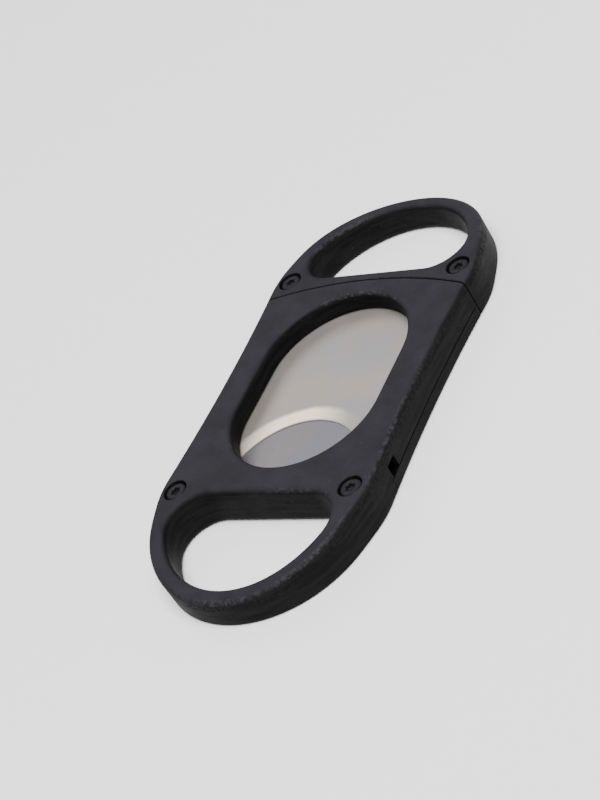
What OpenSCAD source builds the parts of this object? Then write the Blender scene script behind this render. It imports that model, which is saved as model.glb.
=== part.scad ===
// Double-blade cutter with two finger loops.
// One loop is moulded with the body, the other slides out and carries a blade.
// X runs across the body, Y along it towards the sliding loop, Z up to the front face.
// The origin is at the bottom centre of the closed tool.

/* [Body] */
// Width of the body at its screws
body_w = 42.4; // [38:0.2:52]
// Width at the waist, half way along
waist_w = 40.4; // [37:0.2:50]
// Thickness from the back face to the front face
body_t = 7.6; // [6.6:0.1:10]
// Length over both finger loops when closed
body_len = 94.2; // [86:0.2:120]
// Thickness of the rear cover
cover_t = 2.3; // [1.8:0.1:3]
// Distance from the middle to the seam at the sliding loop, at the side walls
seam_front_y = 19.9; // [18.5:0.1:21]
// Distance from the middle to the end of the rear cover at the fixed loop
seam_back_y = 19; // [18:0.1:20]
// Radius of the curved seams
seam_r = 71; // [50:1:120]
// Gap that shows at the sliding seam
seam_gap = 0.25; // [0.1:0.05:0.5]
// Gap that shows at the end of the rear cover
cover_gap = 0.12; // [0.05:0.01:0.3]
// How far the front face drops at the tips of the loops
tip_drop = 2.2; // [0.5:0.1:3]

/* [Window] */
// Width of the window
window_w = 28.3; // [22:0.1:32]
// Length of the window
window_len = 39.8; // [34:0.2:42]

/* [Finger loops] */
// How much narrower a finger loop's round end is than the body, on each side
loop_taper = 1.1; // [0.2:0.1:2]
// Width of the ring round a finger hole
ring_w = 3.1; // [2.6:0.1:5]
// Distance from the middle to the straight side of a finger hole
hole_flat_y = 25.5; // [25.2:0.1:29]
// Radius of the two corners of a finger hole
hole_corner_r = 5.8; // [3:0.1:7]

/* [Blades] */
// Thickness of both blades
blade_t = 0.6; // [0.3:0.05:0.8]
// Distance from the window's side in to the end of the cutting edges
edge_inset = 1.05; // [0.5:0.05:3]
// Place of the middle of the sliding edge when closed
edge_y = -5.8; // [-9:0.1:-3]
// Overlap of the two edges when closed
edge_overlap = 1.8; // [1:0.1:4]
// Blade edge on each side of the window that the body holds
blade_land = 0.95; // [0.6:0.05:1.2]
// How far the sliding blade's corners reach past the ends of its edge
corner_reach = 2.2; // [1:0.1:3]
// Length of the clamped end of a blade
tang_w = 1.8; // [1.4:0.1:2]
// Metal round a screw's hole in a blade
ear_wall = 1.2; // [0.8:0.05:1.3]
// Length of the fixed blade's points past the middle
horn_y = 6; // [3:0.5:8]

/* [Slide] */
// Travel of the sliding loop
travel = 26; // [20:0.5:28]
// Clearance round the guide rails
rail_gap = 0.1; // [0.05:0.01:0.2]
// Clearance under the moving blade and round the clamped ends
blade_gap = 0.05; // [0.03:0.01:0.1]
// Clearance between the moving blade and the front plate
roof_gap = 0.5; // [0.05:0.05:0.8]
// Thickness of the side wall beside a rail channel, at the waist
wall_w = 1.5; // [1.2:0.05:2]
// Height of a guide rail
rail_h = 2.3; // [1.6:0.1:2.6]
// Distance from the middle to the tips of the rails when closed
rail_end_y = 15.2; // [12:0.1:16]
// Length of the stop barb at a rail's tip
barb_len = 2; // [1:0.1:4]
// How far the barb stands out from the rail
barb_w = 0.45; // [0.2:0.05:0.6]
// Length of the side notch at the end of each rail channel
notch_len = 2.7; // [1.5:0.1:4]
// Distance from the middle to the closed end of the rail channels
channel_end_y = 18.6; // [17:0.1:19]

/* [Screws] */
// Distance from the side of the body in to a screw
screw_edge = 3.45; // [3.3:0.05:4]
// Distance from the straight side of a finger hole back to the screws
screw_setback = 0.7; // [0:0.1:0.8]
// Radius of a screw shank
screw_r = 1; // [0.8:0.05:1.1]
// Radius of a screw head
head_r = 1.85; // [1.5:0.05:2]
// Height of a screw head
head_h = 1.1; // [0.8:0.1:1.4]
// Depth of the head below the front face
head_sink = 0.3; // [0.1:0.05:0.8]
// Radius of the counterbore
bore_r = 2.15; // [1.95:0.05:2.3]
// Plastic left under the tip of a screw
screw_floor = 1.1; // [0.8:0.1:1.6]
// Width of the socket across its corners
socket_w = 1.5; // [1:0.1:2]

/* [Pegs] */
// Radius of the pegs that pass through the fixed blade
peg_r = 0.8; // [0.6:0.05:1]
// Distance from the fixed blade's side in to a peg
peg_inset = 1.6; // [1.3:0.1:2]
// Radius of the pegs in the side walls
wall_peg_r = 0.55; // [0.4:0.05:0.6]
// Height of the pegs above the cover
peg_h = 2; // [1.5:0.1:2.5]

/* [Hidden] */
$fn = 96;
eps = 0.02;
over = 1;
// Steps round a corner of a finger hole
corner_steps = 10;
half_w = body_w / 2;
loop_r = half_w - loop_taper;
loop_y = body_len / 2 - loop_r;
hole_r = loop_r - ring_w;
screw_x = body_w - 2 * screw_edge;
screw_y = 2 * (hole_flat_y - screw_setback);
seam_sag = seam_r - sqrt(seam_r * seam_r - half_w * half_w);
// The waist's hollow ends this far past the seam
waist_past = 5;
waist_dip = (body_w - waist_w) / 2;
waist_span = seam_front_y + waist_past;
waist_r = (waist_span * waist_span + waist_dip * waist_dip) / (2 * waist_dip);
flank_d = sqrt(half_w * half_w + (loop_y - waist_span) * (loop_y - waist_span));
// A flank runs on a little inside the round end, so that the two cross at a clear angle
flank_in = 0.1;
flank_turn = 5;
flank_a = acos(loop_r / flank_d) - atan2(loop_y - waist_span, half_w);
// The front face is flat to just past the counterbores, then falls as an arc
crown_clear = 0.35;
crown_lead = 2.5;
crown_y = screw_y / 2 + bore_r + crown_clear;
crown_run = body_len / 2 - crown_y;
crown_h = (crown_run * (crown_run + 2 * crown_lead) + tip_drop * tip_drop) / (2 * tip_drop);
crown_r = sqrt(crown_lead * crown_lead + crown_h * crown_h);
fixed_z = cover_t;
moving_z = fixed_z + blade_t + blade_gap;
roof_z = moving_z + blade_t + roof_gap;
blade_half_w = window_w / 2 + blade_land;
edge_r = window_w / 2 - edge_inset;
fixed_edge_y = edge_y + edge_overlap;
moving_tip_y = edge_y - edge_r + corner_reach;
step_y = moving_tip_y - 3 * rail_gap;
rail_z = cover_t + rail_gap;
channel_z = rail_z + rail_h + rail_gap;
channel_x = waist_w / 2 - wall_w;
rail_x = blade_half_w + 3 * rail_gap;
rail_out_x = channel_x - barb_w - rail_gap;
rail_w = rail_out_x - rail_x;
neck_x = rail_out_x + rail_gap;
stop_y = -rail_end_y + barb_len + travel + blade_gap;
head_z = body_t - head_sink - head_h;
// The socket goes this part of the way through a head
socket_share = 0.6;
ear_r = screw_r + ear_wall;
tang_y = screw_y / 2 - ear_r;
// The pegs stand just inside the closed ends of the channels
peg_back = 0.4;
peg_x = blade_half_w - peg_inset;
peg_y = -(channel_end_y - peg_back);
wall_peg_back = 3.2;
// Room past the tip of a peg
peg_room = 0.1;
wall_peg_x = (neck_x + half_w - waist_dip / 2) / 2;
wall_peg_y = seam_front_y - wall_peg_back;

// Outline of the closed tool: a waisted bar whose flanks run on into a round end at each loop.
module outline() {
    flank = [half_w, waist_span];
    inner_r = loop_r - flank_in;
    touch = [inner_r * cos(flank_a + flank_turn), loop_y + inner_r * sin(flank_a + flank_turn)];
    difference() {
        union() {
            polygon([for (s = [-1, 1], p = s > 0 ? [flank, touch] : [touch, flank]) [p[0], s * p[1]],
                     for (s = [1, -1], p = s > 0 ? [touch, flank] : [flank, touch]) [-p[0], s * p[1]]]);
            for (s = [-1, 1]) translate([0, s * loop_y]) circle(r = loop_r, $fn = 180);
        }
        for (s = [-1, 1]) translate([s * (waist_w / 2 + waist_r), 0]) circle(r = waist_r, $fn = 720);
    }
}

// Bar of the outline with the front face falling away to the loops' tips.
module blank() {
    intersection() {
        linear_extrude(body_t) outline();
        union() {
            translate([-body_w, -crown_y, -over]) cube([2 * body_w, 2 * crown_y, body_t + over]);
            for (s = [-1, 1])
                translate([-body_w, s * (crown_y - crown_lead), body_t - crown_h])
                    rotate([0, 90, 0]) cylinder(r = crown_r, h = 2 * body_w, $fn = 720);
        }
    }
}

// Everything on the body's side of a curved seam, s = 1 at the sliding loop.
module seam_side(s, y, gap = 0) {
    translate([0, s * (y + seam_sag - seam_r), -over])
        cylinder(r = seam_r + gap, h = body_t + 2 * over, $fn = 360);
}

// Points of a finger hole round its arc's centre: straight side, two corners, arc.
function hole_points(r, flat, rc, n) =
    let (cy = flat + rc, cx = sqrt((r - rc) * (r - rc) - cy * cy), a = atan2(cy, cx))
    concat(
        [for (i = [0 : n]) let (t = -90 + (a + 90) * i / n) [cx + rc * cos(t), cy + rc * sin(t)]],
        [for (i = [1 : 4 * n - 1]) let (t = a + (180 - 2 * a) * i / (4 * n)) [r * cos(t), r * sin(t)]],
        [for (i = [0 : n]) let (t = 180 - a + (a + 90) * i / n) [-cx + rc * cos(t), cy + rc * sin(t)]]
    );

// Finger hole through a loop, s = 1 at the sliding loop.
module finger_hole(s) {
    translate([0, s * loop_y, -over])
        mirror([0, s < 0 ? 1 : 0, 0])
            linear_extrude(body_t + 2 * over)
                polygon(hole_points(hole_r, hole_flat_y - loop_y, hole_corner_r, corner_steps));
}

// Window with round ends.
module window(z0, z1) {
    r = window_w / 2;
    c = window_len / 2 - r;
    translate([0, 0, z0]) {
        translate([-r, -c, 0]) cube([window_w, 2 * c, z1 - z0]);
        for (s = [-1, 1]) translate([0, s * c, 0]) cylinder(r = r, h = z1 - z0);
    }
}

// Bores for the pair of screws at one end.
module screw_bores(s) {
    for (x = [-1, 1]) translate([x * screw_x / 2, s * screw_y / 2, 0]) {
        translate([0, 0, head_z]) cylinder(r = bore_r, h = body_t);
        translate([0, 0, screw_floor]) cylinder(r = screw_r, h = body_t);
    }
}

// Flat outline of a blade's clamped end, with clearance gap round it.
module tang(s, gap = 0) {
    translate([-screw_x / 2, s > 0 ? tang_y - gap : -tang_y - tang_w - gap])
        square([screw_x, tang_w + 2 * gap]);
    for (x = [-1, 1]) translate([x * screw_x / 2, s * screw_y / 2]) circle(r = ear_r + gap);
}

// Holes through a blade for the screws at its clamped end.
module tang_holes(s) {
    for (x = [-1, 1]) translate([x * screw_x / 2, s * screw_y / 2]) circle(r = screw_r);
}

// Slot in a loop's root that takes a blade's clamped end.
module tang_slot(s, z) {
    translate([0, 0, z]) linear_extrude(blade_t + blade_gap) {
        tang(s, rail_gap);
        translate([-blade_half_w - rail_gap, s > 0 ? seam_front_y - over : -tang_y - tang_w - rail_gap])
            square([2 * (blade_half_w + rail_gap), tang_y + tang_w + rail_gap + over - seam_front_y]);
    }
}

// Cavity for the blades and rails inside the front shell.
module shell_cavity() {
    far = seam_front_y + seam_sag + over;
    z0 = cover_t - eps;
    // Pocket that takes the fixed blade
    translate([-blade_half_w - rail_gap, -tang_y, z0])
        cube([2 * (blade_half_w + rail_gap), tang_y + far, fixed_z + blade_t + blade_gap - z0]);
    // Pocket that the moving blade runs in
    translate([-blade_half_w - rail_gap, step_y, z0])
        cube([2 * (blade_half_w + rail_gap), far - step_y, roof_z - z0]);
    // Rail channels, narrow at the mouth so that the barbs stop there
    for (s = [0, 1]) mirror([s, 0, 0]) {
        translate([blade_half_w, -channel_end_y, z0])
            cube([channel_x - blade_half_w, channel_end_y + stop_y, channel_z - z0]);
        translate([blade_half_w, stop_y - eps, z0])
            cube([neck_x - blade_half_w, far - stop_y + eps, channel_z - z0]);
        // Notch through the side wall at the closed end of the channel
        translate([channel_x - eps, -channel_end_y, z0])
            cube([half_w, notch_len, channel_z - z0]);
    }
}

// Pegs on the rear cover, or the holes for them.
module pegs(z0, h) {
    for (s = [-1, 1]) {
        translate([s * peg_x, peg_y, z0]) cylinder(r = peg_r, h = h);
        translate([s * wall_peg_x, wall_peg_y, z0]) cylinder(r = wall_peg_r, h = h);
    }
}

// Front plate, side walls and fixed finger loop, moulded in one piece.
module front_shell() {
    color([0.10, 0.10, 0.11])
        difference() {
            intersection() {
                blank();
                seam_side(1, seam_front_y);
            }
            // Room for the rear cover
            intersection() {
                translate([-body_w, -body_len, -over]) cube([2 * body_w, 2 * body_len, cover_t + over]);
                seam_side(-1, seam_back_y, cover_gap);
            }
            shell_cavity();
            tang_slot(-1, fixed_z);
            window(-over, body_t + over);
            finger_hole(-1);
            screw_bores(-1);
            pegs(cover_t - eps, peg_h + peg_room);
        }
}

// Flat plate that closes the back, with its window and four pegs.
module rear_cover() {
    color([0.13, 0.13, 0.14]) {
        difference() {
            intersection() {
                linear_extrude(cover_t) outline();
                seam_side(1, seam_front_y);
                seam_side(-1, seam_back_y);
            }
            window(-over, cover_t + over);
        }
        pegs(cover_t - eps, peg_h + eps);
    }
}

// Sliding finger loop with its two guide rails and their stop barbs.
module sliding_loop() {
    root_y = seam_front_y + seam_sag;
    color([0.11, 0.11, 0.12]) {
        difference() {
            blank();
            seam_side(1, seam_front_y, seam_gap);
            tang_slot(1, moving_z);
            finger_hole(1);
            screw_bores(1);
        }
        for (s = [0, 1]) mirror([s, 0, 0]) {
            difference() {
                translate([rail_x, -rail_end_y, rail_z]) cube([rail_w, rail_end_y + root_y, rail_h]);
                tang_slot(1, moving_z);
                screw_bores(1);
            }
            translate([rail_out_x - eps, -rail_end_y, rail_z]) cube([barb_w + eps, barb_len, rail_h]);
        }
    }
}

// Blade fixed in the body, with its cutting edge towards the sliding loop.
module fixed_blade() {
    color([0.78, 0.79, 0.80])
        translate([0, 0, fixed_z]) linear_extrude(blade_t)
            difference() {
                union() {
                    translate([-blade_half_w, -tang_y - tang_w])
                        square([2 * blade_half_w, horn_y + tang_y + tang_w]);
                    tang(-1);
                }
                translate([0, fixed_edge_y + edge_r]) circle(r = edge_r);
                tang_holes(-1);
                for (s = [-1, 1]) translate([s * peg_x, peg_y]) circle(r = peg_r);
            }
}

// Blade carried by the sliding loop, with its cutting edge towards the fixed loop.
module sliding_blade() {
    color([0.86, 0.84, 0.80])
        translate([0, 0, moving_z]) linear_extrude(blade_t)
            difference() {
                union() {
                    translate([-blade_half_w, moving_tip_y])
                        square([2 * blade_half_w, tang_y + tang_w - moving_tip_y]);
                    tang(1);
                }
                translate([0, edge_y - edge_r]) circle(r = edge_r);
                tang_holes(1);
            }
}

// Socket-head screw at one corner: sx is its side, sy its end.
module screw(sx, sy) {
    color([0.16, 0.16, 0.17])
        translate([sx * screw_x / 2, sy * screw_y / 2, 0])
            difference() {
                union() {
                    translate([0, 0, head_z]) cylinder(r = head_r, h = head_h);
                    translate([0, 0, screw_floor]) cylinder(r = screw_r, h = head_z + eps - screw_floor);
                }
                translate([0, 0, head_z + head_h * (1 - socket_share)])
                    cylinder(r = socket_w / 2, h = head_h, $fn = 6);
            }
}

module body_screw_left() { screw(-1, -1); }
module body_screw_right() { screw(1, -1); }
module loop_screw_left() { screw(-1, 1); }
module loop_screw_right() { screw(1, 1); }

front_shell();
rear_cover();
sliding_loop();
fixed_blade();
sliding_blade();
body_screw_left();
body_screw_right();
loop_screw_left();
loop_screw_right();
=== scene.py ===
# A double-blade cutter with two finger loops, its finishes, and a plain studio round it.
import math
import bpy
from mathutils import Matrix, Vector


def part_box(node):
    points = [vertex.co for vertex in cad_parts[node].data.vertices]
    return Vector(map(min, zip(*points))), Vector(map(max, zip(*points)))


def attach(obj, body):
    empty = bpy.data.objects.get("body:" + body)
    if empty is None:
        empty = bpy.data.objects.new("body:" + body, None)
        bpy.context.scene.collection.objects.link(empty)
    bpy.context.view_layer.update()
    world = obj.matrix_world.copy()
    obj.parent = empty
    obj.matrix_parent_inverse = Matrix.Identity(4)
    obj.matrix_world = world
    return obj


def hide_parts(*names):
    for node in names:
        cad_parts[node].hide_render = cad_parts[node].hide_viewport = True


bl_info = {
    "name": "Double-Blade Cutter",
    "version": (1, 0, 0),
    "blender": (4, 5, 0),
    "location": "3D View > Sidebar > Cutter",
    "description": "Builds a plastic cutter with two finger loops, one fixed blade and one sliding blade",
    "category": "Object",
}

from types import SimpleNamespace

import bpy
import numpy as np
from bpy.props import FloatProperty, FloatVectorProperty, PointerProperty
from bpy.types import Operator, Panel, PropertyGroup

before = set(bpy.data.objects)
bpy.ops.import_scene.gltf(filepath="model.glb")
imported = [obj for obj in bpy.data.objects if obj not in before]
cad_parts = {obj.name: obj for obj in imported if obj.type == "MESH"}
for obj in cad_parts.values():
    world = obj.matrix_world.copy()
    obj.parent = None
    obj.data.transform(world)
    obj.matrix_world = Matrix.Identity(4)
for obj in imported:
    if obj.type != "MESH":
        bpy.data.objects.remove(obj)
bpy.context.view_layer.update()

SHELL_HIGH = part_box("front_shell")[1]
LOOP_LOW, LOOP_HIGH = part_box("sliding_loop")
FIXED_LOW, FIXED_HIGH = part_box("fixed_blade")
MOVING_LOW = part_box("sliding_blade")[0]
SCREWS = ("body_screw_left", "body_screw_right", "loop_screw_left", "loop_screw_right")
SCREW_LOW, SCREW_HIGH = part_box("loop_screw_right")
# How far a cutter runs past what it cuts
PAST = 0.001
# Angles across a quarter-round edge
QUARTER = np.radians(np.linspace(0.0, 90.0, 9))


def length(name, default, description):
    """A length in metres."""
    return FloatProperty(name=name, default=default, description=description,
                         unit="LENGTH", precision=5)


def tint(name, default, description):
    """A colour without alpha."""
    return FloatVectorProperty(name=name, default=default, description=description,
                               subtype="COLOR", size=3, min=0, max=1)


class ShellSizes(PropertyGroup):
    """Sizes and colour of the moulded pieces."""
    waist_w: length("Waist width", 0.0404, "Width half way along")
    loop_taper: length("Loop taper", 0.0011, "How much narrower a loop's end is than the body, each side")
    ring_w: length("Ring width", 0.0031, "Width of the ring round a finger hole")
    hole_flat: length("Hole flat", 0.0255, "Distance from the middle to a finger hole's straight side")
    hole_corner: length("Hole corner", 0.0058, "Radius of a finger hole's two corners")
    tip_drop: length("Tip drop", 0.0022, "How far the front face drops at the tips")
    window_w: length("Window width", 0.0283, "Width of the window")
    window_len: length("Window length", 0.0398, "Length of the window")
    seam_y: length("Front seam", 0.0199, "Distance from the middle to the sliding seam at the sides")
    cover_y: length("Back seam", 0.019, "Distance from the middle to the rear cover's end at the sides")
    seam_r: length("Seam radius", 0.071, "Radius of the curved seams")
    seam_gap: length("Seam gap", 0.00025, "Gap that shows at the sliding seam")
    cover_gap: length("Cover gap", 0.00012, "Gap that shows at the rear cover's end")
    face_round: length("Front rounding", 0.0010, "Rounding of the front face's outer edge")
    back_round: length("Back rounding", 0.0006, "Rounding of the back face's outer edge")
    window_round: length("Window rounding", 0.0010, "Rounding of the window's rims")
    hole_round: length("Hole rounding", 0.0012, "Rounding of the finger holes' rims")
    chamfer: length("Seam chamfer", 0.00012, "Small chamfer where two mouldings meet")
    # The faces' lighter colour is painted light and the walls' darker side colour is painted shade: lit and
    # shaded copies of one plastic
    colour: tint("Plastic", (0.0202, 0.0190, 0.0230),
                 "Colour of the plastic's broad faces, slightly bleached")
    side: tint("Plastic sides", (0.0078, 0.0077, 0.0079), "Colour of the plastic's walls")


class SlideSizes(PropertyGroup):
    """Sizes of the guide rails and their channels."""
    gap: length("Running gap", 0.0001, "Clearance round the guide rails")
    blade_gap: length("Blade gap", 0.00005, "Clearance under the moving blade and round the clamped ends")
    roof_gap: length("Roof gap", 0.0005, "Clearance between the moving blade and the front plate")
    rail_h: length("Rail height", 0.0023, "Height of a guide rail")
    wall_w: length("Side wall", 0.0015, "Thickness of the side wall beside a rail channel")
    barb_len: length("Barb length", 0.002, "Length of the stop barb at a rail's tip")
    barb_w: length("Barb width", 0.00045, "How far the barb stands out")
    travel: length("Travel", 0.026, "Travel of the sliding loop")
    channel_end: length("Channel end", 0.0186, "Distance from the middle to the channels' closed ends")
    notch_len: length("Notch length", 0.0027, "Length of the side notch at the end of each channel")
    peg_r: length("Peg radius", 0.0008, "Radius of the pegs through the fixed blade")
    wall_peg_r: length("Wall peg radius", 0.00055, "Radius of the pegs in the side walls")
    peg_h: length("Peg height", 0.002, "Height of the pegs above the cover")


class BladeSizes(PropertyGroup):
    """Sizes and colours of the two blades."""
    edge_inset: length("Edge inset", 0.00105, "Distance from the window's side in to the edge's end")
    edge_y: length("Sliding edge", -0.0058, "Place of the middle of the sliding edge when closed")
    overlap: length("Edge overlap", 0.0018, "Overlap of the two edges when closed")
    reach: length("Corner reach", 0.0022, "How far a blade's corners reach past the edge's ends")
    land: length("Blade land", 0.00095, "Blade on each side of the window that the body holds")
    tang_w: length("Clamped length", 0.0018, "Length of the clamped end of a blade")
    ear_wall: length("Ear wall", 0.0012, "Metal round a screw's hole in a blade")
    bevel_w: length("Ground width", 0.0027, "Width of the ground bevel along the edge")
    edge_t: length("Edge thickness", 0.00012, "Thickness left at the cutting edge")
    steel: tint("Steel", (0.272, 0.255, 0.243), "Colour of the satin steel")
    ground: tint("Ground bevel", (0.97, 0.85, 0.67), "Colour of the ground bevel")
    under: tint("Fixed blade", (0.155, 0.151, 0.166), "Colour of the fixed blade's face")


class ScrewSizes(PropertyGroup):
    """Sizes and colour of the screws and the counterbores that they sit in."""
    bore_r: length("Counterbore radius", 0.00215, "Radius of the counterbore")
    bore_round: length("Counterbore rounding", 0.0002, "Rounding of the counterbore's rim")
    head_r: length("Head radius", 0.00185, "Radius of a screw's head")
    head_h: length("Head height", 0.0011, "Height of a screw's head")
    shank_r: length("Shank radius", 0.001, "Radius of a screw's shank")
    socket_r: length("Socket radius", 0.00078, "Middle radius of the star socket")
    socket_wave: length("Socket wave", 0.00013, "Depth of the star socket's six lobes")
    socket_depth: length("Socket depth", 0.0006, "Depth of the socket")
    colour: tint("Blackened steel", (0.010, 0.010, 0.012), "Colour of the screws")


class StudioSizes(PropertyGroup):
    """Camera, lamps and floor."""
    floor_w: length("Floor width", 6.0, "Width of the floor")
    eye: FloatVectorProperty(name="Camera place", default=(0.20439, -0.20088, 0.20309),
                             description="Where the camera stands", subtype="TRANSLATION", size=3)
    turn: FloatVectorProperty(name="Camera turn", default=(50.251, 27.427, 25.467),
                              description="The camera's turns about X, Y and Z, in degrees", size=3)
    view_angle: FloatProperty(name="View angle", default=21.85,
                              description="Angle that the picture's height takes in, in degrees")
    floor: tint("Floor", (0.93, 0.93, 0.93), "Colour of the floor")


GROUPS = {"cutter_shell": ShellSizes, "cutter_slide": SlideSizes, "cutter_blade": BladeSizes,
          "cutter_screw": ScrewSizes, "cutter_studio": StudioSizes}


def measures():
    """Everything that the pieces share: the groups' values, and the places worked out from them and the
    frame."""
    scene = bpy.context.scene
    m = SimpleNamespace(shell=scene.cutter_shell, slide=scene.cutter_slide,
                        blade=scene.cutter_blade, screw=scene.cutter_screw)
    s, r, b = m.shell, m.slide, m.blade
    m.half_w = SHELL_HIGH.x
    m.top = SHELL_HIGH.z
    m.half_len = round(LOOP_HIGH.y, 4)
    m.screw_x = (SCREW_LOW.x + SCREW_HIGH.x) / 2
    m.screw_y = (SCREW_LOW.y + SCREW_HIGH.y) / 2
    m.head_top = SCREW_HIGH.z
    m.fixed_z, m.moving_z = FIXED_LOW.z, MOVING_LOW.z
    m.blade_t = FIXED_HIGH.z - FIXED_LOW.z
    m.cover_t = m.fixed_z
    m.loop_r = m.half_w - s.loop_taper
    m.loop_y = m.half_len - m.loop_r
    m.hole_r = m.loop_r - s.ring_w
    m.blade_half_w = s.window_w / 2 + b.land
    m.edge_r = s.window_w / 2 - b.edge_inset
    m.ear_r = m.screw.shank_r + b.ear_wall
    m.tang_y = m.screw_y - m.ear_r
    m.rail_x = m.blade_half_w + 3 * r.gap
    m.channel_x = s.waist_w / 2 - r.wall_w
    m.rail_out_x = m.channel_x - r.barb_w - r.gap
    m.neck_x = m.rail_out_x + r.gap
    m.rail_tip_y = LOOP_LOW.y
    m.stop_y = m.rail_tip_y + r.barb_len + r.travel + r.blade_gap
    m.rail_z = m.cover_t + r.gap
    m.channel_z = m.rail_z + r.rail_h + r.gap
    m.seam_top = s.seam_y + s.seam_r - math.sqrt(s.seam_r ** 2 - m.half_w ** 2)
    return m


# ---------------------------------------------------------------- closed solids from a plan and a profile

def arc(radius, start, end, count, centre=(0.0, 0.0)):
    """Points at equal angles on a circle, from start to end in degrees."""
    a = np.radians(np.linspace(start, end, count))
    return np.column_stack((centre[0] + radius * np.cos(a), centre[1] + radius * np.sin(a)))


def spaced(path, step):
    """The same path with points at equal distances, about step apart."""
    run = np.concatenate(([0.0], np.cumsum(np.hypot(*np.diff(path, axis=0).T))))
    at = np.linspace(0.0, run[-1], int(run[-1] / step) + 1)
    return np.column_stack((np.interp(at, run, path[:, 0]), np.interp(at, run, path[:, 1])))


def rounded(path, reach):
    """The path with its corners eased: each point is the mean of its neighbours within reach, ends kept."""
    ahead = path[1:reach + 1][::-1] * (-1, 1)
    behind = path[-reach - 1:-1][::-1] * (-1, 1)
    long = np.vstack((ahead, path, behind))
    total = np.cumsum(np.vstack((np.zeros((1, 2)), long)), axis=0)
    width = 2 * reach + 1
    return (total[width:] - total[:-width]) / width


def ring(side):
    """A closed loop from its right-hand edge: up the right side, then down its mirror image. The edge's
    ends lie just off the middle, so that no point is doubled."""
    return np.vstack((side, side[::-1] * (-1, 1)))


def upside_down(side):
    """A right-hand edge turned end for end along Y, still running upwards."""
    return side[::-1] * (1, -1)


def outward(loop):
    """Unit outward normals: the chord between both neighbours, turned a quarter turn clockwise."""
    chord = np.roll(loop, -1, axis=0) - np.roll(loop, 1, axis=0)
    normal = np.column_stack((chord[:, 1], -chord[:, 0]))
    return normal / np.linalg.norm(normal, axis=1, keepdims=True)


def new_piece(name, points, faces):
    """A Blender object from an array of points and an array of four-cornered faces."""
    mesh = bpy.data.meshes.new(name)
    mesh.from_pydata(points.tolist(), [], faces.tolist())
    mesh.update(calc_edges=True)
    piece = bpy.data.objects.new(name, mesh)
    bpy.context.scene.collection.objects.link(piece)
    return piece


def tube_faces(rows, count):
    """Faces between neighbouring rows of a closed loop of count points, outward when the loop runs
    anticlockwise and the rows climb."""
    i = np.arange(count)
    j = (i + 1) % count
    base = np.arange(rows - 1)[:, None] * count
    quads = np.stack((base + i, base + j, base + count + j, base + count + i), axis=-1)
    return quads.reshape(-1, 4)


def ladder(count, first):
    """A cap over a loop: rungs across it, each between a point of one half and its mirror image."""
    i = np.arange(count // 2 - 1)
    return first + np.column_stack((i, i + 1, count - 2 - i, count - 1 - i))


def solid(name, side, rows, at=(0.0, 0.0)):
    """Closed solid over a mirrored plan: for each row (d, z) the loop is stepped outwards by d and lifted
    to z, a number or a function of y; ladder caps close the first and the last row."""
    loop = ring(side)
    normal = outward(loop)
    layers = []
    for d, z in rows:
        plan = loop + d * normal
        height = z(plan[:, 1]) if callable(z) else np.full(len(plan), z)
        layers.append(np.column_stack((plan + at, height)))
    count = len(loop)
    last = (len(rows) - 1) * count
    faces = np.vstack((tube_faces(len(rows), count), ladder(count, last), ladder(count, 0)[:, ::-1]))
    return new_piece(name, np.vstack(layers), faces)


def block(name, x0, x1, y0, y1, z0, z1, ease=0.0):
    """A box between two corners, with its lower and upper edges eased by a small chamfer."""
    half = (x1 - x0) / 2
    side = np.array([[half, y0], [half, y1]])
    rows = [(0.0, z0), (0.0, z1)]
    if ease:
        rows = [(-ease, z0), (0.0, z0 + ease), (0.0, z1 - ease), (-ease, z1)]
    return solid(name, side, rows, at=((x0 + x1) / 2, 0.0))


def peg(name, x, y, radius, z0, z1, ease=0.0, count=40):
    """A round post at (x, y), with its upper edge eased."""
    side = arc(radius, -90 + 90 / count, 90 - 90 / count, count)
    rows = [(0.0, z0), (0.0, z1)]
    if ease:
        rows = [(0.0, z0), (0.0, z1 - ease), (-ease, z1)]
    return solid(name, side, rows, at=(x, y))


def carve(piece, cutter, how="DIFFERENCE"):
    """Cuts, joins or crosses the piece with another solid, which is used up."""
    step = piece.modifiers.new("carve", "BOOLEAN")
    step.operation = how
    step.solver = "MANIFOLD"
    step.object = cutter
    bpy.context.view_layer.update()
    graph = bpy.context.evaluated_depsgraph_get()
    done = bpy.data.meshes.new_from_object(piece.evaluated_get(graph))
    if not len(done.polygons):
        raise RuntimeError(f"{piece.name}: nothing is left after {cutter.name}")
    piece.modifiers.clear()
    old, used = piece.data, cutter.data
    piece.data = done
    bpy.data.objects.remove(cutter)
    bpy.data.meshes.remove(old)
    bpy.data.meshes.remove(used)
    return piece


def finish_piece(piece, body, finish, nodes, soft_angle=35.0):
    """Smooth shading up to an angle, broad faces kept flat, then the body, finish and CAD nodes."""
    piece.data.shade_smooth()
    piece.data.set_sharp_from_angle(angle=math.radians(soft_angle))
    weighted = piece.modifiers.new("Broad faces first", "WEIGHTED_NORMAL")
    weighted.keep_sharp = True
    weighted.weight = 90
    piece.data.materials.clear()
    piece.data.materials.append(finish)
    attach(piece, body)
    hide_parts(*nodes)


# ---------------------------------------------------------------- plans and profiles of the mouldings

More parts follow.
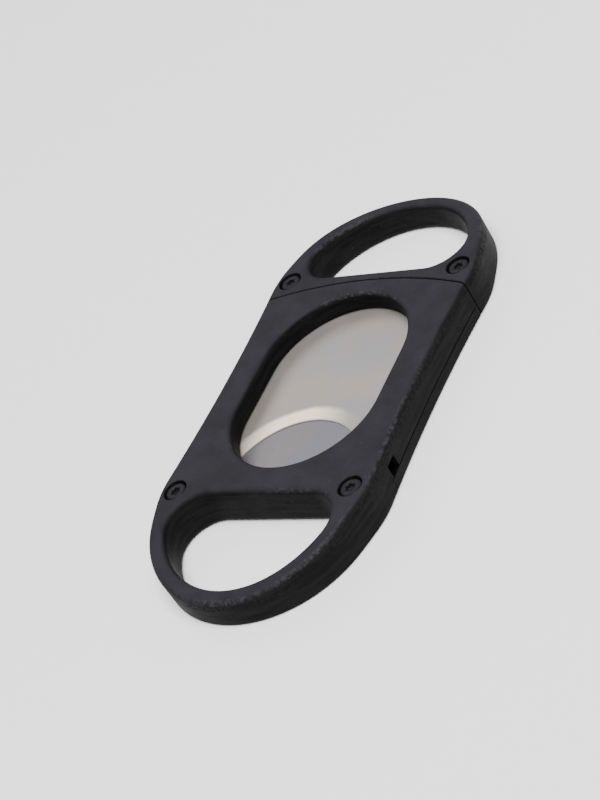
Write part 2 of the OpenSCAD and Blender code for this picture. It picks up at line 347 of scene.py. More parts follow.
def bar_side(m):
    """Right-hand edge of the closed tool: a waist arc, flanks and a round end at each loop, eased where
    they meet."""
    s = m.shell
    past_seam, step, ease_steps = 0.005, 0.0004, 7
    dip = m.half_w - s.waist_w / 2
    span = s.seam_y + past_seam
    waist_r = (span ** 2 + dip ** 2) / (2 * dip)
    y = np.linspace(0.0, span, 60)
    waist = np.column_stack((s.waist_w / 2 + waist_r - np.sqrt(waist_r ** 2 - y ** 2), y))
    far = math.hypot(m.half_w, m.loop_y - span)
    turn = math.acos(m.loop_r / far) - math.atan2(m.loop_y - span, m.half_w)
    end = arc(m.loop_r, math.degrees(turn), 90.0, 120, (0.0, m.loop_y))
    upper = np.vstack((waist, end))
    path = spaced(np.vstack((upper[:0:-1] * (1, -1), upper)), step)
    return rounded(path, ease_steps)[1:-1]


def front_height(m):
    """Height of the front face at y: flat to just past the counterbores, then an arc that falls to the
    tips."""
    clear, lead = 0.00035, 0.0025
    start = m.screw_y + m.screw.bore_r + clear
    run = m.half_len - start
    rise = (run * (run + 2 * lead) + m.shell.tip_drop ** 2) / (2 * m.shell.tip_drop)
    radius = math.hypot(lead, rise)

    def height(y):
        out = np.maximum(np.abs(y) - start, 0.0) + lead
        fall = np.sqrt(radius ** 2 - out ** 2) - rise
        return m.top + np.minimum(fall, 0.0)
    return height


def rim_rows(base, lift, radius, steps=9):
    """Rows of a quarter-round rim: the wall turns outwards over radius, as seen by a cutter, to ten degrees
    short of the face, then runs straight on through it. lift is +1 at the front, -1 at the back."""
    short, tail, flare = 10.0, radius * 0.6, 1.2
    a = np.radians(np.linspace(0.0, 90.0 - short, steps))
    outset = radius * (1 - np.cos(a))
    rise = radius * np.sin(a)
    run, climb = tail * math.cos(math.radians(short)), tail * math.sin(math.radians(short))
    outset = np.append(outset, (outset[-1] + run, outset[-1] + tail * flare))
    rise = np.append(rise, (rise[-1] + climb, radius + PAST))
    rows = []
    for d, z in zip(outset, rise):
        if callable(base):
            rows.append((d, lambda y, z=z: base(y) + lift * (z - radius)))
        else:
            rows.append((d, base + lift * (z - radius)))
    return rows if lift > 0 else rows[::-1]


def back_edge(radius):
    """Rows of the rounded back edge, from z = 0 up to the straight wall."""
    return [(-radius * (1 - math.sin(t)), radius * (1 - math.cos(t))) for t in QUARTER]


def blank(name, m):
    """Bar of the plan with a rounded front edge and a softer back edge."""
    s = m.shell
    height = front_height(m)
    high = [(-s.face_round * (1 - math.cos(t)),
             lambda y, t=t: height(y) - s.face_round * (1 - math.sin(t))) for t in QUARTER]
    return solid(name, bar_side(m), back_edge(s.back_round) + high)


def seam_side(m, y):
    """Right-hand edge of everything on the body's side of a curved seam that meets the sides at y."""
    s = m.shell
    near_middle = 89.97
    centre = y - math.sqrt(s.seam_r ** 2 - m.half_w ** 2)
    reach = m.half_w + 6 * PAST
    start = math.degrees(math.acos(reach / s.seam_r))
    curve = arc(s.seam_r, start, near_middle, 140, (0.0, centre))
    return np.vstack(([[reach, -m.half_len - 5 * PAST]], curve))


def body_side(name, m, y, back=False):
    """Solid that keeps what is on the body's side of a seam, with that seam's edges chamfered."""
    c = m.shell.chamfer
    rows = [(-c - PAST, -PAST), (0.0, c), (0.0, m.top - c), (-c - PAST, m.top + PAST)]
    side = seam_side(m, y)
    if back:
        rows = [(-c - PAST, -PAST), (0.0, c), (0.0, m.cover_t + PAST)]
        side = upside_down(side)
    return solid(name, side, rows)


def finger_hole(name, m, s):
    """Cutter for a finger hole: a straight side, two corners and an arc, with quarter-round rims.
    s is 1 at the sliding loop and -1 at the fixed one."""
    sh = m.shell
    off_middle, near_middle, base_count = 0.0003, 89.5, 19
    flat = sh.hole_flat - m.loop_y
    rc = sh.hole_corner
    cy = flat + rc
    cx = math.sqrt((m.hole_r - rc) ** 2 - cy ** 2)
    meet = math.degrees(math.atan2(cy, cx))
    base = np.column_stack((np.linspace(off_middle, cx, base_count + 1)[:-1], np.full(base_count, flat)))
    corner = arc(rc, -90, meet, 26, (cx, cy))
    bow = arc(m.hole_r, meet, near_middle, 90)[1:]
    side = np.vstack((base, corner, bow)) + (0.0, m.loop_y)
    if s < 0:
        side = upside_down(side)
    height = front_height(m)
    rows = rim_rows(0.0, -1, sh.hole_round) + rim_rows(height, 1, sh.hole_round)
    return solid(name, side, rows)


def window_side(m):
    """Right-hand edge of the window: two half circles joined by straight sides."""
    r = m.shell.window_w / 2
    c = m.shell.window_len / 2 - r
    near_middle = 89.4
    upper = arc(r, 0, near_middle, 64, (0.0, c))
    lower = upside_down(upper)
    straight = np.column_stack((np.full(11, r), np.linspace(-c, c, 13)[1:-1]))
    return np.vstack((lower, straight, upper))


def tang_cutters(m, s, z):
    """Slot in a loop's root for a blade's clamped end: a strip between the screws, a round seat for each
    ear and the blade's own width up to the seam."""
    past_seam, gap = 0.004, m.slide.gap
    z1 = z + m.blade_t + m.slide.blade_gap
    y0, y1 = m.tang_y - gap, m.tang_y + m.blade.tang_w + gap
    w = m.blade_half_w + gap
    near = m.seam_top - past_seam
    cut = [block("strip", -m.screw_x, m.screw_x, *sorted((s * y0, s * y1)), z, z1),
           block("throat", -w, w, *sorted((s * near, s * (y1 - gap / 2))), z - gap / 10, z1 + gap / 10)]
    for x in (-1, 1):
        cut.append(peg("ear seat", x * m.screw_x, s * m.screw_y, m.ear_r + gap, z, z1))
    return cut


def screw_cutters(m, s):
    """A counterbore with a rounded rim and a shank hole for each of one end's two screws."""
    c = m.screw
    near_middle = 88.5
    cut = []
    for x in (-1, 1):
        side = arc(c.bore_r, -near_middle, near_middle, 60)
        rows = [(0.0, m.head_top - c.head_h)] + rim_rows(m.top, 1, c.bore_round, 5)
        cut.append(solid("counterbore", side, rows, at=(x * m.screw_x, s * m.screw_y)))
        cut.append(peg("shank hole", x * m.screw_x, s * m.screw_y, c.shank_r,
                       SCREW_LOW.z, m.top - c.head_h))
    return cut


def cover_pegs(m, name, z0, z1, grow=0.0, ease=0.0, kinds=2):
    """The rear cover's four pegs, or the holes for them when grown; kinds=1 leaves out the wall pegs."""
    r = m.slide
    peg_back, wall_peg_back, peg_inset = 0.0004, 0.0032, 0.0016
    dip = m.half_w - m.shell.waist_w / 2
    wall_x = (m.neck_x + m.half_w - dip / 2) / 2
    spots = [(m.blade_half_w - peg_inset, peg_back - r.channel_end, r.peg_r),
             (wall_x, m.shell.seam_y - wall_peg_back, r.wall_peg_r)]
    return [peg(name, x * s, y, radius + grow, z0, z1, ease)
            for x, y, radius in spots[:kinds] for s in (-1, 1)]


def lower_edge_cutter(m):
    """Frame that chamfers the front shell's lower outer edge, as far as the rear cover runs."""
    c = m.shell.chamfer
    side = bar_side(m)
    z = m.cover_t
    cut = solid("edge frame", side, [(PAST, z - c), (PAST, z + c)])
    core = solid("edge core", side, [(-c, z - PAST), (-c, z), (c / 2, z + 1.5 * c), (c / 2, z + PAST)])
    carve(cut, core)
    wide = m.half_len + 2 * PAST
    return carve(cut, block("fixed loop", -wide, wide, -wide, -m.shell.cover_y, 0.0, m.top))


# ---------------------------------------------------------------- the moulded pieces

def make_front_shell(m):
    """Front plate, side walls and fixed finger loop, with the cavity for blades and rails."""
    s, r = m.shell, m.slide
    piece = carve(blank("front_shell_moulding", m), body_side("seam", m, s.seam_y), "INTERSECT")
    c = s.chamfer
    overlap, peg_room = 0.0002, 0.00003
    room_side = upside_down(seam_side(m, s.cover_y))
    room_rows = [(s.cover_gap + c + PAST, -PAST), (s.cover_gap, c), (s.cover_gap, m.cover_t)]
    cutters = [solid("cover room", room_side, room_rows)]
    z0 = m.cover_t - overlap
    w = m.blade_half_w + r.gap
    far = m.seam_top + PAST
    step_y = m.blade.edge_y - m.edge_r + m.blade.reach - 3 * r.gap
    low_roof = m.fixed_z + m.blade_t + r.blade_gap
    high_roof = m.moving_z + m.blade_t + r.roof_gap
    cutters.append(block("fixed blade pocket", -w, w, -m.tang_y, far, z0, low_roof))
    cutters.append(block("moving blade pocket", -w, w, step_y, far, z0, high_roof))
    for x in (-1, 1):
        inner, outer = m.blade_half_w * x, m.channel_x * x
        neck = m.neck_x * x
        lo, hi = sorted((inner, outer))
        cutters.append(block("channel", lo, hi, -r.channel_end, m.stop_y, z0, m.channel_z))
        lo, hi = sorted((inner, neck))
        cutters.append(block("channel mouth", lo, hi, m.stop_y - r.gap, far, z0, m.channel_z))
        lo, hi = sorted((outer - x * r.gap, x * (m.half_w + PAST)))
        cutters.append(block("notch", lo, hi, -r.channel_end, -r.channel_end + r.notch_len,
                             z0, m.channel_z))
    rows = [(0.0, -PAST)] + rim_rows(m.top, 1, s.window_round)
    cutters.append(solid("window", window_side(m), rows))
    cutters.append(finger_hole("hole", m, -1))
    cutters += screw_cutters(m, -1) + tang_cutters(m, -1, m.fixed_z)
    cutters += cover_pegs(m, "peg hole", z0, m.cover_t + r.peg_h + r.gap, peg_room)
    cutters.append(lower_edge_cutter(m))
    for cutter in cutters:
        carve(piece, cutter)
    return piece


def make_rear_cover(m):
    """Flat plate with a window that closes the back, and its four pegs."""
    s = m.shell
    c = s.chamfer
    high = [(0.0, m.cover_t - c), (-c, m.cover_t - c / 4)]
    piece = solid("rear_cover_moulding", bar_side(m), back_edge(s.back_round) + high)
    carve(piece, body_side("seam", m, s.seam_y), "INTERSECT")
    carve(piece, body_side("back seam", m, s.cover_y, back=True), "INTERSECT")
    rows = rim_rows(0.0, -1, s.window_round) + [(0.0, m.cover_t + PAST)]
    carve(piece, solid("window", window_side(m), rows))
    for post in cover_pegs(m, "peg", m.cover_t - 2 * c, m.cover_t + m.slide.peg_h, 0.0, c):
        carve(piece, post, "UNION")
    return piece


def make_sliding_loop(m):
    """Sliding finger loop with two guide rails that end in stop barbs."""
    s, r = m.shell, m.slide
    c, gap = s.chamfer, s.seam_gap
    piece = blank("sliding_loop_moulding", m)
    rows = [(gap + c + PAST, -PAST), (gap, c), (gap, m.top - c), (gap + c + PAST, m.top + PAST)]
    carve(piece, solid("seam", seam_side(m, s.seam_y), rows))
    for cutter in [finger_hole("hole", m, 1)] + screw_cutters(m, 1) + tang_cutters(m, 1, m.moving_z):
        carve(piece, cutter)
    ease, root_in = 0.00015, 0.0006
    z0, z1 = m.rail_z, m.rail_z + r.rail_h
    root = m.seam_top
    for x in (-1, 1):
        lo, hi = sorted((x * m.rail_x, x * m.rail_out_x))
        rail = block("rail", lo, hi, m.rail_tip_y, root, z0, z1, ease)
        lo, hi = sorted((x * (m.rail_out_x - root_in), x * (m.rail_out_x + r.barb_w)))
        carve(rail, block("barb", lo, hi, m.rail_tip_y, m.rail_tip_y + r.barb_len, z0, z1, ease), "UNION")
        carve(piece, rail, "UNION")
    return piece


# ---------------------------------------------------------------- blades and screws

def blade_plate(name, m, edge_y, corner_y, end_y, z, ground):
    """Blade whose edge is an arc that is hollow towards -Y: columns run from the edge to the clamped end,
    and the upper face drops towards the edge as (bevel width - distance from the edge) times the slope.
    With ground False the bevel is underneath."""
    b = m.blade
    e = m.edge_r
    w = m.blade_half_w
    drop = math.sqrt(e ** 2 - (corner_y - edge_y + e) ** 2)
    swing = math.asin(drop / e)
    across = e * np.sin(np.linspace(-swing, swing, 121))
    wing = np.linspace(drop, w, 12)[1:]
    x = np.concatenate((-wing[::-1], across, wing))
    centre = edge_y - e
    inside = np.maximum(e ** 2 - x ** 2, 0.0)
    near = np.where(np.abs(x) <= drop + 1e-9, centre + np.sqrt(inside), corner_y)
    near = np.maximum(near, corner_y)
    v = np.linspace(0.0, 1.0, 90)[:, None] ** 2
    y = near + (end_y - near) * v
    grid_x = np.broadcast_to(x, y.shape)
    from_edge = np.maximum(np.hypot(grid_x, y - centre) - e, 0.0)
    slope = (m.blade_t - b.edge_t) / b.bevel_w
    dip = np.maximum(b.bevel_w - from_edge, 0.0) * slope
    top = np.full(y.shape, z + m.blade_t)
    low = np.full(y.shape, z)
    if ground:
        top = top - dip
    else:
        low = low + dip
    rows, cols = y.shape
    upper = np.column_stack((grid_x.ravel(), y.ravel(), top.ravel()))
    lower = np.column_stack((grid_x.ravel(), y.ravel(), low.ravel()))
    index = np.arange(rows * cols).reshape(rows, cols)
    a, d = index[:-1, :-1].ravel(), index[1:, :-1].ravel()
    c, f = index[:-1, 1:].ravel(), index[1:, 1:].ravel()
    half = rows * cols
    faces = [np.column_stack((a, c, f, d)), np.column_stack((a, d, f, c)) + half]
    rim = np.concatenate((index[0, :-1], index[:-1, -1], index[-1, :0:-1], index[:0:-1, 0]))
    after = np.roll(rim, -1)
    faces.append(np.column_stack((rim + half, after + half, after, rim)))
    return new_piece(name, np.vstack((upper, lower)), np.vstack(faces))


def clamp_end(piece, m, s, z):
    """Joins the clamped strip and the two ears to a blade, then drills it for the screws."""
    z1 = z + m.blade_t
    y0, y1 = sorted((s * m.tang_y, s * (m.tang_y + m.blade.tang_w)))
    carve(piece, block("strip", -m.screw_x, m.screw_x, y0, y1, z, z1), "UNION")
    for x in (-1, 1):
        carve(piece, peg("ear", x * m.screw_x, s * m.screw_y, m.ear_r, z, z1), "UNION")
    for x in (-1, 1):
        carve(piece, peg("screw hole", x * m.screw_x, s * m.screw_y, m.screw.shank_r, z - PAST, z1 + PAST))
    return piece


def turn_round(piece):
    """Turns a piece half a turn about Z, in its mesh."""
    count = len(piece.data.vertices)
    co = np.empty(count * 3)
    piece.data.vertices.foreach_get("co", co)
    co = co.reshape(-1, 3) * (-1, -1, 1)
    piece.data.vertices.foreach_set("co", co.ravel())
    piece.data.update()
    return piece


def make_sliding_blade(m):
    """Blade carried by the sliding loop, with its bevel ground on the upper face."""
    b = m.blade
    corner = b.edge_y - m.edge_r + b.reach
    end = m.tang_y + b.tang_w / 2
    piece = blade_plate("sliding_blade_plate", m, b.edge_y, corner, end, m.moving_z, True)
    return clamp_end(piece, m, 1, m.moving_z)


def make_fixed_blade(m):
    """Blade fixed in the body, with its bevel ground on the lower face."""
    b = m.blade
    edge = -(b.edge_y + b.overlap)
    corner = -FIXED_HIGH.y
    end = m.tang_y + b.tang_w / 2
    piece = turn_round(blade_plate("fixed_blade_plate", m, edge, corner, end, m.fixed_z, False))
    clamp_end(piece, m, -1, m.fixed_z)
    for post in cover_pegs(m, "peg hole", m.fixed_z - PAST, m.fixed_z + PAST, kinds=1):
        carve(piece, post)
    return piece


def make_screw(name, m, x, y):
    """Round-headed screw with a six-lobed socket: rings of radius r(t), the socket's rings waved by
    cos 6t, joined from the shank's tip up over the head and down into the socket."""
    c = m.screw
    head_low = m.head_top - c.head_h
    soft, tip, rim = 0.00035, 0.0004, 0.00005
    tip_flat, socket_flat, dimple = 0.0002, 0.0003, 0.00015
    a = np.radians(np.linspace(0.0, 90.0, 7))
    radius = [tip_flat, c.shank_r - tip, c.shank_r, c.shank_r, c.head_r, c.head_r]
    height = [SCREW_LOW.z, SCREW_LOW.z, SCREW_LOW.z + tip, head_low, head_low, m.head_top - soft]
    wave = [0.0] * 6
    radius += list(c.head_r - soft * (1 - np.cos(a[1:])))
    height += list(m.head_top - soft * (1 - np.sin(a[1:])))
    wave += [0.0] * 6
    depth = m.head_top - c.socket_depth
    radius += [c.socket_r + 3 * rim, c.socket_r + rim, c.socket_r, c.socket_r, socket_flat]
    height += [m.head_top, m.head_top - rim / 3, m.head_top - rim, depth, depth - dimple]
    wave += [c.socket_wave * 0.9, c.socket_wave, c.socket_wave, c.socket_wave, 0.0]
    count = 72
    t = np.linspace(0.0, 2 * math.pi, count, endpoint=False)
    r = np.array(radius)[:, None] + np.array(wave)[:, None] * np.cos(6 * t)
    z = np.broadcast_to(np.array(height)[:, None], r.shape)
    points = np.stack((x + r * np.cos(t), y + r * np.sin(t), z), axis=-1).reshape(-1, 3)
    rows = len(radius)
    last = (rows - 1) * count
    faces = np.vstack((tube_faces(rows, count), ladder(count, 0)[:, ::-1], ladder(count, last)))
    return new_piece(name, points, faces)


# ---------------------------------------------------------------- finishes

class Graph:
    """Short calls for building a material's nodes."""

    def __init__(self, name):
        self.material = bpy.data.materials.new(name)
        self.material.use_nodes = True
        self.tree = self.material.node_tree
        self.shader = self.tree.nodes["Principled BSDF"]
        self.place = self.add("ShaderNodeTexCoord").outputs["Object"]

    def add(self, kind, **settings):
        node = self.tree.nodes.new(kind)
        for key, value in settings.items():
            setattr(node, key, value)
        return node

    def set(self, socket, value):
        if isinstance(value, bpy.types.NodeSocket):
            self.tree.links.new(value, socket)
        else:
            socket.default_value = value

    def noise(self, scale, detail, rough, stretch=None):
        """Noise on Object coordinates, in patterns per metre."""
        vector = self.place
        if stretch:
            mapping = self.add("ShaderNodeMapping")
            self.set(mapping.inputs["Vector"], vector)
            self.set(mapping.inputs["Scale"], stretch)
            vector = mapping.outputs["Vector"]
        node = self.add("ShaderNodeTexNoise")
        self.set(node.inputs["Vector"], vector)
        self.set(node.inputs["Scale"], scale)
        self.set(node.inputs["Detail"], detail)
        self.set(node.inputs["Roughness"], rough)
        return node.outputs["Fac"]

    def ramp(self, value, low, high, out_low=0.0, out_high=1.0):
        """Takes the span low to high smoothly onto out_low to out_high."""
        node = self.add("ShaderNodeMapRange", interpolation_type="SMOOTHSTEP")
        for key, item in (("Value", value), ("From Min", low), ("From Max", high),
                          ("To Min", out_low), ("To Max", out_high)):
            self.set(node.inputs[key], item)
        return node.outputs["Result"]

    def math(self, operation, *values):
        node = self.add("ShaderNodeMath", operation=operation)
        for socket, value in zip(node.inputs, values):
            self.set(socket, value)
        return node.outputs[0]

    def product(self, first, *others):
        """All the values multiplied together."""
        for other in others:
            first = self.math("MULTIPLY", first, other)
        return first

    def blend(self, amount, one, two):
        """A colour between one and two."""
        node = self.add("ShaderNodeMix", data_type="RGBA")
        self.set(node.inputs["Factor"], amount)
        for key, item in (("A", one), ("B", two)):
            socket = [s for s in node.inputs if s.name == key and s.type == "RGBA"][0]
            self.set(socket, item if isinstance(item, bpy.types.NodeSocket) else (*item, 1.0))
        return [s for s in node.outputs if s.type == "RGBA"][0]

    def bump(self, height, strength, distance, under=None):
        node = self.add("ShaderNodeBump")
        self.set(node.inputs["Height"], height)
        self.set(node.inputs["Strength"], strength)
        self.set(node.inputs["Distance"], distance)
        if under is not None:
            self.set(node.inputs["Normal"], under)
        return node.outputs["Normal"]

    def part(self, vector, axis):
        node = self.add("ShaderNodeSeparateXYZ")
        self.set(node.inputs[0], vector)
        return node.outputs[axis]

    def outputs(self, **values):
        for key, value in values.items():
            self.set(self.shader.inputs[key.replace("_", " ")], value)
        return self.material


def scaled(colour, factor):
    """A colour made lighter or darker."""
    return tuple(min(1.0, v * factor) for v in colour)


def plastic_finish(m):
    """Moulded plastic: fine spark-eroded grain, faint mottling, mould lines along the walls, worn specks,
    painted shade on the walls and painted light on the broad faces, front edges painted pale in patches
    (partly a painted highlight, partly wear), a darker speckled band below the front edge, and a dark joint
    at the cover with painted shade on the cover's face in the notches."""
    g = Graph("Moulded plastic")
    colour, side = tuple(m.shell.colour), tuple(m.shell.side)
    joint_dark_and_notch_shade = (0.0006, 0.0006, 0.0006)
    mottle = g.ramp(g.noise(160.0, 5.0, 0.6), 0.3, 0.7)
    x, y, z = (g.part(g.place, axis) for axis in "XYZ")
    tilt = g.math("ABSOLUTE", g.part(g.add("ShaderNodeNewGeometry").outputs["True Normal"], "Z"))
    # Distance from the line that joins the two loops' centres: small on inner walls, large on outer ones
    past_centre = g.math("MAXIMUM", g.math("SUBTRACT", g.math("ABSOLUTE", y), m.loop_y), 0.0)
    spot = g.add("ShaderNodeCombineXYZ")
    g.set(spot.inputs["X"], x)
    g.set(spot.inputs["Y"], past_centre)
    far = g.add("ShaderNodeVectorMath", operation="LENGTH")
    g.set(far.inputs[0], spot.outputs[0])
    outer = g.ramp(far.outputs["Value"], m.loop_r - 0.0012, m.loop_r - 0.0006)
    # Depth below the front face, which falls towards the tips
    fall = g.math("MULTIPLY", g.ramp(past_centre, 0.0, m.loop_r), m.shell.tip_drop)
    below = g.math("SUBTRACT", g.math("SUBTRACT", m.top, fall), z)
    # Broad faces and walls: blended by tilt from the darker wall colour to the lighter face colour, painted
    # shade on the walls and painted light on the broad faces
    face = g.blend(mottle, scaled(colour, 0.85), scaled(colour, 1.18))
    lines = g.ramp(g.noise(140.0, 4.0, 0.65, stretch=(1.0, 1.0, 9.0)), 0.35, 0.65)
    wall = g.blend(lines, scaled(side, 0.75), scaled(side, 1.32))
    base = g.blend(g.ramp(tilt, 0.35, 0.95), wall, face)
    # Worn specks, gathered in patches
    worn = g.product(g.ramp(g.noise(1500.0, 2.0, 0.7), 0.64, 0.72),
                     g.ramp(g.noise(90.0, 2.0, 0.5), 0.42, 0.62))
    base = g.blend(g.product(worn, 0.35), base, scaled(colour, 2.2))
    # Rounded front edges painted pale in patches: partly a painted highlight along the fillets, partly wear
    edges = g.product(g.ramp(tilt, 0.25, 0.5), g.ramp(tilt, 0.97, 0.85), g.ramp(below, 0.0020, 0.0012))
    patches = g.product(g.ramp(g.noise(70.0, 3.0, 0.6), 0.45, 0.65),
                        g.ramp(g.noise(1100.0, 4.0, 0.8), 0.44, 0.60))
    base = g.blend(g.product(edges, patches, 0.6), base, scaled(colour, 2.2))
    # Dark joint between the cover and the shell, and painted shade on the cover's face seen in the notches,
    # at the same height
    seam, fade = m.shell.seam_y, 0.0004
    apart = g.math("ABSOLUTE", g.math("SUBTRACT", z, m.cover_t))
    joint = g.product(g.math("SUBTRACT", 1.0, g.ramp(apart, 0.00006, 0.00020)),
                      g.ramp(y, -seam, fade - seam), g.ramp(y, seam, seam - fade))
    base = g.blend(g.product(joint, 0.9), base, joint_dark_and_notch_shade)
    # Darker speckled band on the outer walls, 0.6 to 2.3 mm below the front face, also rougher
    dark_band = g.product(g.ramp(below, 0.0006, 0.0010), g.ramp(below, 0.0023, 0.0016), outer,
                      g.ramp(g.noise(1700.0, 3.0, 0.8), 0.44, 0.58))
    base = g.blend(g.product(dark_band, 0.8), base, scaled(colour, 0.3))
    rough = g.math("ADD", g.math("MULTIPLY_ADD", mottle, 0.10, 0.46), g.product(dark_band, 0.25))
    coarse = g.bump(g.noise(2400.0, 3.0, 0.6), 0.7, 0.00008)
    fine = g.bump(g.noise(7000.0, 2.0, 0.5), 0.4, 0.000015, coarse)
    return g.outputs(Base_Color=base, Roughness=rough, Normal=fine, Specular_IOR_Level=0.025)


def steel_finish(name, m, face, ground=None):
    """Satin steel: rolling lines, soft clouds, warm and cool patches, and pits. With ground, a colour, also
    a brighter band
    along the arc of the sliding edge: partly the ground finish, partly painted sheen, brightest left of the
    middle."""
    g = Graph(name)
    b = m.blade
    lines = g.noise(60.0, 6.0, 0.7, stretch=(14.0, 1.0, 1.0))
    cloud = g.noise(75.0, 5.0, 0.6)
    blotch = g.ramp(g.noise(210.0, 3.0, 0.55), 0.35, 0.68)
    pits = g.ramp(g.noise(900.0, 2.0, 0.6), 0.70, 0.78)
    base = g.blend(g.ramp(cloud, 0.35, 0.65), scaled(face, 0.90), scaled(face, 1.06))
    base = g.blend(g.product(blotch, 0.5), base, scaled(face, 1.10))
    warm = tuple(np.multiply(face, (1.12, 1.01, 0.90)))
    cool = tuple(np.multiply(face, (0.91, 0.97, 1.08)))
    drift = g.blend(g.ramp(g.noise(95.0, 3.0, 0.55, stretch=(1.0, 1.3, 1.0)), 0.38, 0.62), warm, cool)
    base = g.blend(0.55, base, drift)
    base = g.blend(g.product(g.ramp(lines, 0.35, 0.7), 0.25), base, scaled(face, 1.14))
    base = g.blend(g.product(pits, 0.4), base, scaled(face, 0.55))
    rough = g.ramp(cloud, 0.3, 0.7, 0.42, 0.52)
    if ground:
        lip_colour, wander_by = (0.30, 0.25, 0.20), 0.00018
        mapping = g.add("ShaderNodeMapping")
        g.set(mapping.inputs["Vector"], g.place)
        g.set(mapping.inputs["Location"], (0.0, m.edge_r - b.edge_y, 0.0))
        g.set(mapping.inputs["Scale"], (1.0, 1.0, 0.0))
        far = g.add("ShaderNodeVectorMath", operation="LENGTH")
        g.set(far.inputs[0], mapping.outputs["Vector"])
        off = g.math("SUBTRACT", far.outputs["Value"], m.edge_r)
        wander = g.math("ADD", off, g.ramp(g.noise(260.0, 3.0, 0.6), 0.2, 0.8, -wander_by, wander_by))
        across = g.part(g.place, "X")
        # Painted sheen: the band is brightest just left of the middle, where the bevel catches the light's
        # reflection, and fades towards both sides, most at the right
        band = g.product(g.math("SUBTRACT", 1.0, g.ramp(wander, b.bevel_w * 0.70, b.bevel_w * 1.10)),
                         g.ramp(across, -0.0135, -0.0065, 0.30, 1.0),
                         g.ramp(across, 0.0085, -0.0025, 0.05, 1.0))
        streaks = g.ramp(g.noise(300.0, 5.0, 0.7, stretch=(1.0, 6.0, 1.0)), 0.3, 0.7, 0.86, 1.0)
        lip = g.math("SUBTRACT", 1.0, g.ramp(off, 0.00010, 0.00030))
        base = g.blend(g.product(band, streaks), base, ground)
        base = g.blend(g.product(lip, 0.7), base, lip_colour)
        rough = g.math("ADD", rough, g.product(band, 0.08))
    height = g.bump(lines, 0.25, 0.00001)
    return g.outputs(Base_Color=base, Roughness=rough, Normal=height, Metallic=0.6)


def screw_finish(m):
    """Blackened steel with a slightly oily, uneven coat."""
    g = Graph("Blackened steel")
    colour = tuple(m.screw.colour)
    patch = g.noise(900.0, 4.0, 0.6)
    base = g.blend(g.ramp(patch, 0.35, 0.7), scaled(colour, 0.75), scaled(colour, 1.5))
    rough = g.ramp(patch, 0.3, 0.7, 0.40, 0.55)
    return g.outputs(Base_Color=base, Roughness=rough, Specular_IOR_Level=0.08,
                     Normal=g.bump(patch, 0.3, 0.00002))


def floor_finish(colour):
    """Matt card with a very faint mottle."""
    g = Graph("Pale card")
    base = g.blend(g.noise(6.0, 2.0, 0.5), scaled(colour, 0.985), colour)
    return g.outputs(Base_Color=base, Roughness=0.9, Specular_IOR_Level=0.2)


# ---------------------------------------------------------------- operators

# Softboxes: name, place in metres, width in metres, power in watts
LAMPS = (("key_softbox", (0.35, -0.25, 1.15), 0.90, 34.0),
         ("sheen_softbox", (-0.58, 0.45, 0.68), 0.45, 2.2))
WORLD_STRENGTH = 0.42


class CUTTER_OT_mouldings(Operator):
    """Front shell, rear cover and sliding loop"""
    bl_idname = "cutter.mouldings"
    bl_label = "Mouldings"

    def execute(self, context):
        m = measures()
        finish = plastic_finish(m)
        for make, body, node in ((make_front_shell, "body", "front_shell"),
                                 (make_rear_cover, "body", "rear_cover"),
                                 (make_sliding_loop, "slider", "sliding_loop")):
            finish_piece(make(m), body, finish, [node])
        return {"FINISHED"}


class CUTTER_OT_blades(Operator):
    """Fixed blade and sliding blade"""
    bl_idname = "cutter.blades"
    bl_label = "Blades"

    def execute(self, context):
        m = measures()
        b = m.blade
        upper = steel_finish("Sliding blade steel", m, tuple(b.steel), tuple(b.ground))
        lower = steel_finish("Fixed blade steel", m, tuple(b.under))
        soft_angle = 5.0
        finish_piece(make_sliding_blade(m), "slider", upper, ["sliding_blade"], soft_angle)
        finish_piece(make_fixed_blade(m), "body", lower, ["fixed_blade"], soft_angle)
        return {"FINISHED"}


class CUTTER_OT_screws(Operator):
    """Four screws with star sockets"""
    bl_idname = "cutter.screws"
    bl_label = "Screws"

    def execute(self, context):
        m = measures()
        finish = screw_finish(m)
        for node in SCREWS:
            low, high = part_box(node)
            x, y = (low.x + high.x) / 2, (low.y + high.y) / 2
            piece = make_screw(node + "_star", m, x, y)
            finish_piece(piece, "slider" if y > 0 else "body", finish, [node])
        return {"FINISHED"}


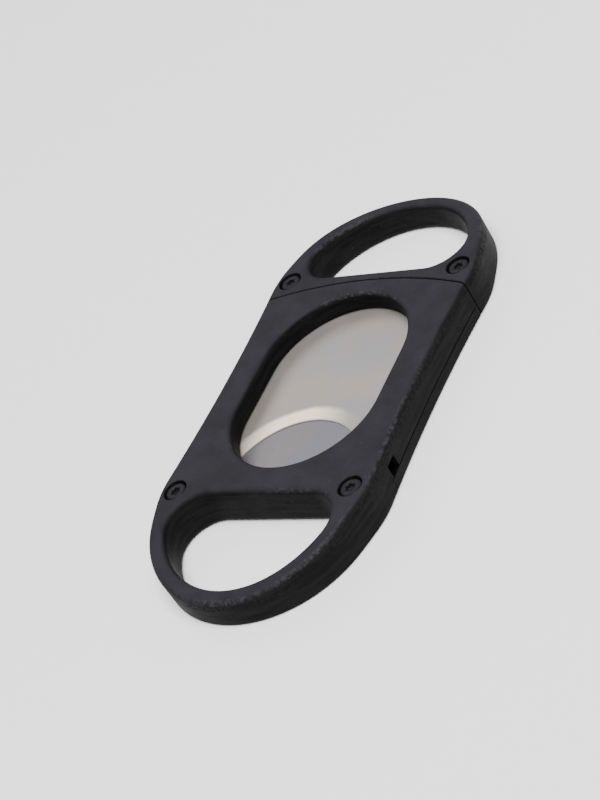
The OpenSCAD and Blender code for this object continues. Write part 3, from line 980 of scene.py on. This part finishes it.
class CUTTER_OT_studio(Operator):
    """Floor, lamps, pale surroundings and camera"""
    bl_idname = "cutter.studio"
    bl_label = "Studio"

    def execute(self, context):
        s = context.scene.cutter_studio
        half = s.floor_w / 2
        corners = np.array([[-half, -half, 0], [half, -half, 0], [half, half, 0], [-half, half, 0]])
        floor = new_piece("floor", corners, np.array([[0, 1, 2, 3]]))
        floor.data.materials.append(floor_finish(tuple(s.floor)))
        self.surroundings(context)
        for name, place, size, power in LAMPS:
            self.lamp(name, place, size, power)
        self.camera(context, s)
        return {"FINISHED"}

    def surroundings(self, context):
        """Even pale light from every side."""
        world = bpy.data.worlds.new("Pale studio")
        world.use_nodes = True
        back = world.node_tree.nodes["Background"]
        back.inputs["Color"].default_value = (1.0, 1.0, 1.0, 1.0)
        back.inputs["Strength"].default_value = WORLD_STRENGTH
        context.scene.world = world

    def lamp(self, name, place, size, power):
        """A square area lamp aimed at the middle of the tool."""
        data = bpy.data.lights.new(name, "AREA")
        data.size = size
        data.energy = power
        lamp = bpy.data.objects.new(name, data)
        bpy.context.scene.collection.objects.link(lamp)
        lamp.location = place
        x, y, z = place
        lamp.rotation_euler = (math.atan2(math.hypot(x, y), z), 0.0, math.atan2(x, -y))

    def camera(self, context, s):
        """A long lens at the chosen place."""
        data = bpy.data.cameras.new("camera")
        data.sensor_fit = "VERTICAL"
        data.sensor_height = 24.0
        data.lens = data.sensor_height / 2 / math.tan(math.radians(s.view_angle / 2))
        data.clip_start = 0.01
        eye = bpy.data.objects.new("camera", data)
        context.scene.collection.objects.link(eye)
        eye.location = s.eye
        eye.rotation_euler = [math.radians(v) for v in s.turn]
        context.scene.camera = eye


class CUTTER_PT_panel(Panel):
    """Builds the cutter from the 3D view's sidebar"""
    bl_label = "Cutter"
    bl_idname = "CUTTER_PT_panel"
    bl_space_type = "VIEW_3D"
    bl_region_type = "UI"
    bl_category = "Cutter"

    def draw(self, context):
        for key, group in GROUPS.items():
            box = self.layout.box()
            for name in group.__annotations__:
                box.prop(getattr(context.scene, key), name)
        for operator in OPERATORS:
            self.layout.operator(operator.bl_idname)


OPERATORS = (CUTTER_OT_mouldings, CUTTER_OT_blades, CUTTER_OT_screws, CUTTER_OT_studio)
CLASSES = (*GROUPS.values(), *OPERATORS, CUTTER_PT_panel)


def register():
    for cls in CLASSES:
        bpy.utils.register_class(cls)
    for key, group in GROUPS.items():
        setattr(bpy.types.Scene, key, PointerProperty(type=group))


def unregister():
    for key in GROUPS:
        delattr(bpy.types.Scene, key)
    for cls in reversed(CLASSES):
        bpy.utils.unregister_class(cls)


def main():
    register()
    bpy.ops.cutter.mouldings()
    bpy.ops.cutter.blades()
    bpy.ops.cutter.screws()
    bpy.ops.cutter.studio()


if __name__ == "__main__":
    main()
